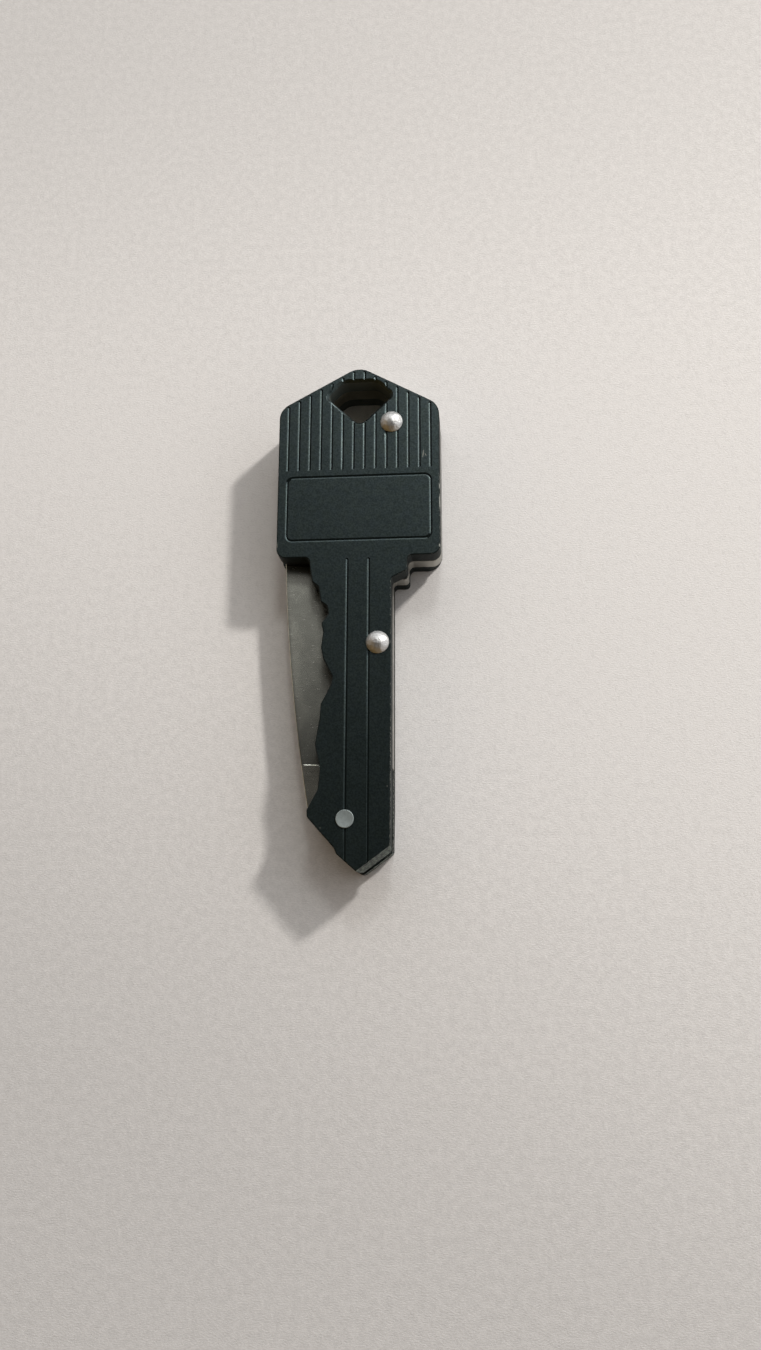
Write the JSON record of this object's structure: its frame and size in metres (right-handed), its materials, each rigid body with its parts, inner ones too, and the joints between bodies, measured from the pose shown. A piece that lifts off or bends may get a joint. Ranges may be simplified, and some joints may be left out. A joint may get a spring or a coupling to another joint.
{
  "type": "folding pocket knife",
  "caption": "Key-shaped folding keyring knife, closed: black handle plates with cut lines and a keyring hole, a steel back spring, and a ground blade on a pivot.",
  "frame": {"origin": "under the middle of the outline's bounding box, on the resting face of the back plate", "axes": "+Z out of the front plate; +Y from the key's tip up to its bow; +X towards the back spring's edge, so the blade folds out to the -X side"},
  "size_m": [0.0238, 0.0744, 0.0088],
  "materials": {
    "black_plate": "matte black coating, worn to bare metal on the edges",
    "spring_steel": "satin, ground edges",
    "blade_steel": "satin, flat ground",
    "pin_steel": "matte flat head",
    "rivet_steel": "polished domes with fine scratches",
    "washer_brass": "plain"
  },
  "bodies": {
    "handle": {"front_plate": "black_plate", "back_plate": "black_plate", "back_spring": "spring_steel", "pivot_pin": "pin_steel", "pivot_washer_front": "washer_brass", "pivot_washer_back": "washer_brass", "bow_rivet": "rivet_steel", "shank_rivet": "rivet_steel"},
    "blade": {"blade": "blade_steel"}
  },
  "joints": [
    {"name": "blade_pivot", "type": "hinge", "parent": "handle", "child": "blade", "pos_m": [-0.0015, -0.0301, 0.0034], "axis": [0, 0, 1], "range_deg": [0, 180]}
  ]
}
